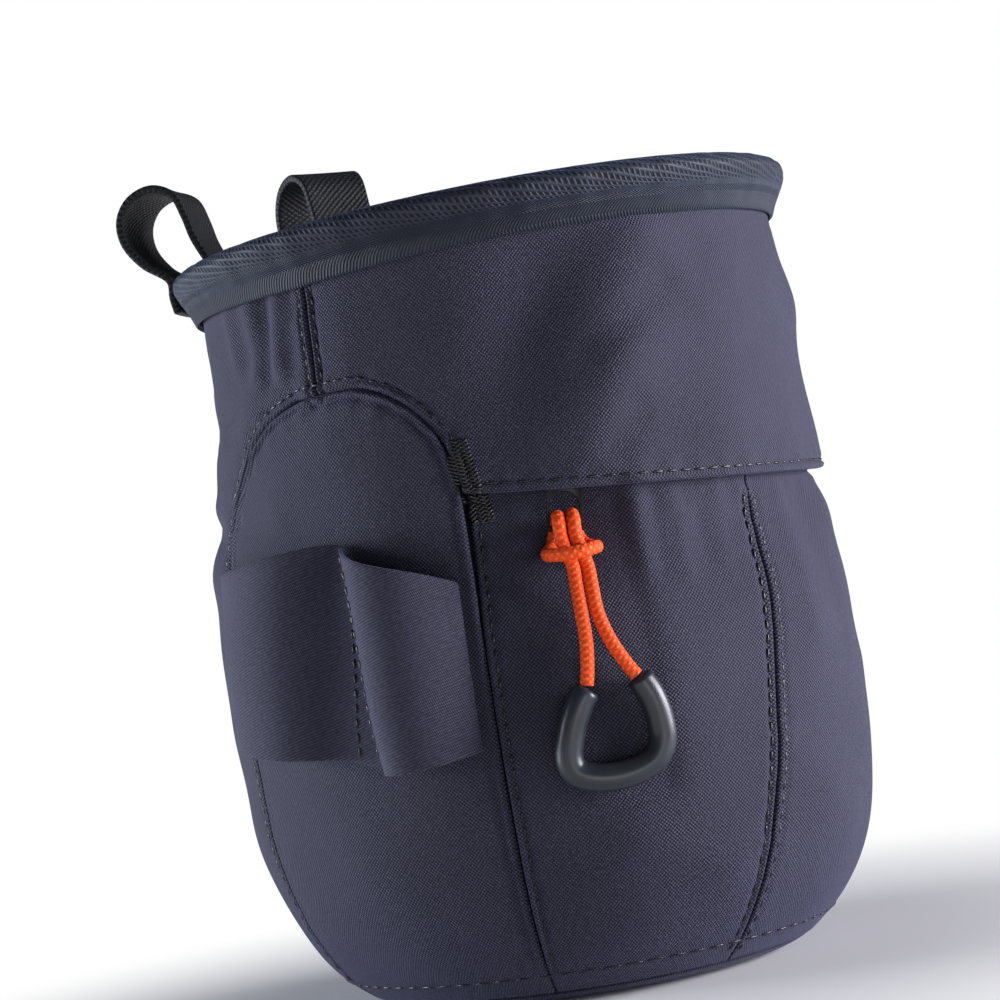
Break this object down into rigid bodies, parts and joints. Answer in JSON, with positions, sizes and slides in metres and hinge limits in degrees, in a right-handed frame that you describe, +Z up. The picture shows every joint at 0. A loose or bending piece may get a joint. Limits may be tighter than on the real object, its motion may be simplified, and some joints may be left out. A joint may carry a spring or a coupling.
{
  "type": "climbing chalk bag",
  "caption": "Round cloth chalk bag with a bound rim, arched side panels, a flap-covered zip pocket with a corded pull, open tool sleeves and belt loops behind.",
  "frame": {"origin": "centre of the flat base, on the surface that the bag stands on", "axes": "+Z up through the bag's mouth, -Y out of the zipped front pocket, -X to the side with the tool sleeves"},
  "size_m": [0.1338, 0.1348, 0.1768],
  "materials": {
    "body_cloth": "plain-woven polyester, dark navy, matte with a slight sheen",
    "sleeve_cloth": "fine twill polyester, dark navy, soft and matte",
    "binding_tape": "herringbone polyester tape, dark blue-grey, padded over the rim",
    "webbing": "ribbed polyester webbing, near black",
    "zip_tape": "woven zip tape with a coil, black",
    "zip_metal": "black painted metal, worn bright on its edges",
    "pull_cord": "braided accessory cord, orange-red with paler flecks",
    "pull_handle": "moulded dark slate rubber, satin"
  },
  "bodies": {
    "root": {"front_yoke": "body_cloth", "back_panel": "body_cloth", "side_panel_left": "body_cloth", "side_panel_right": "body_cloth", "pocket_front_left": "body_cloth", "pocket_front_right": "body_cloth", "pocket_back_wall": "body_cloth", "base_panel": "body_cloth", "tool_sleeves": "sleeve_cloth", "rim_binding": "binding_tape", "belt_loop_left": "webbing", "belt_loop_right": "webbing", "zip_tape": "zip_tape", "zip_slider": "zip_metal", "pull_tab": "zip_metal", "pull_cord": "pull_cord", "pull_handle": "pull_handle"}
  },
  "joints": []
}
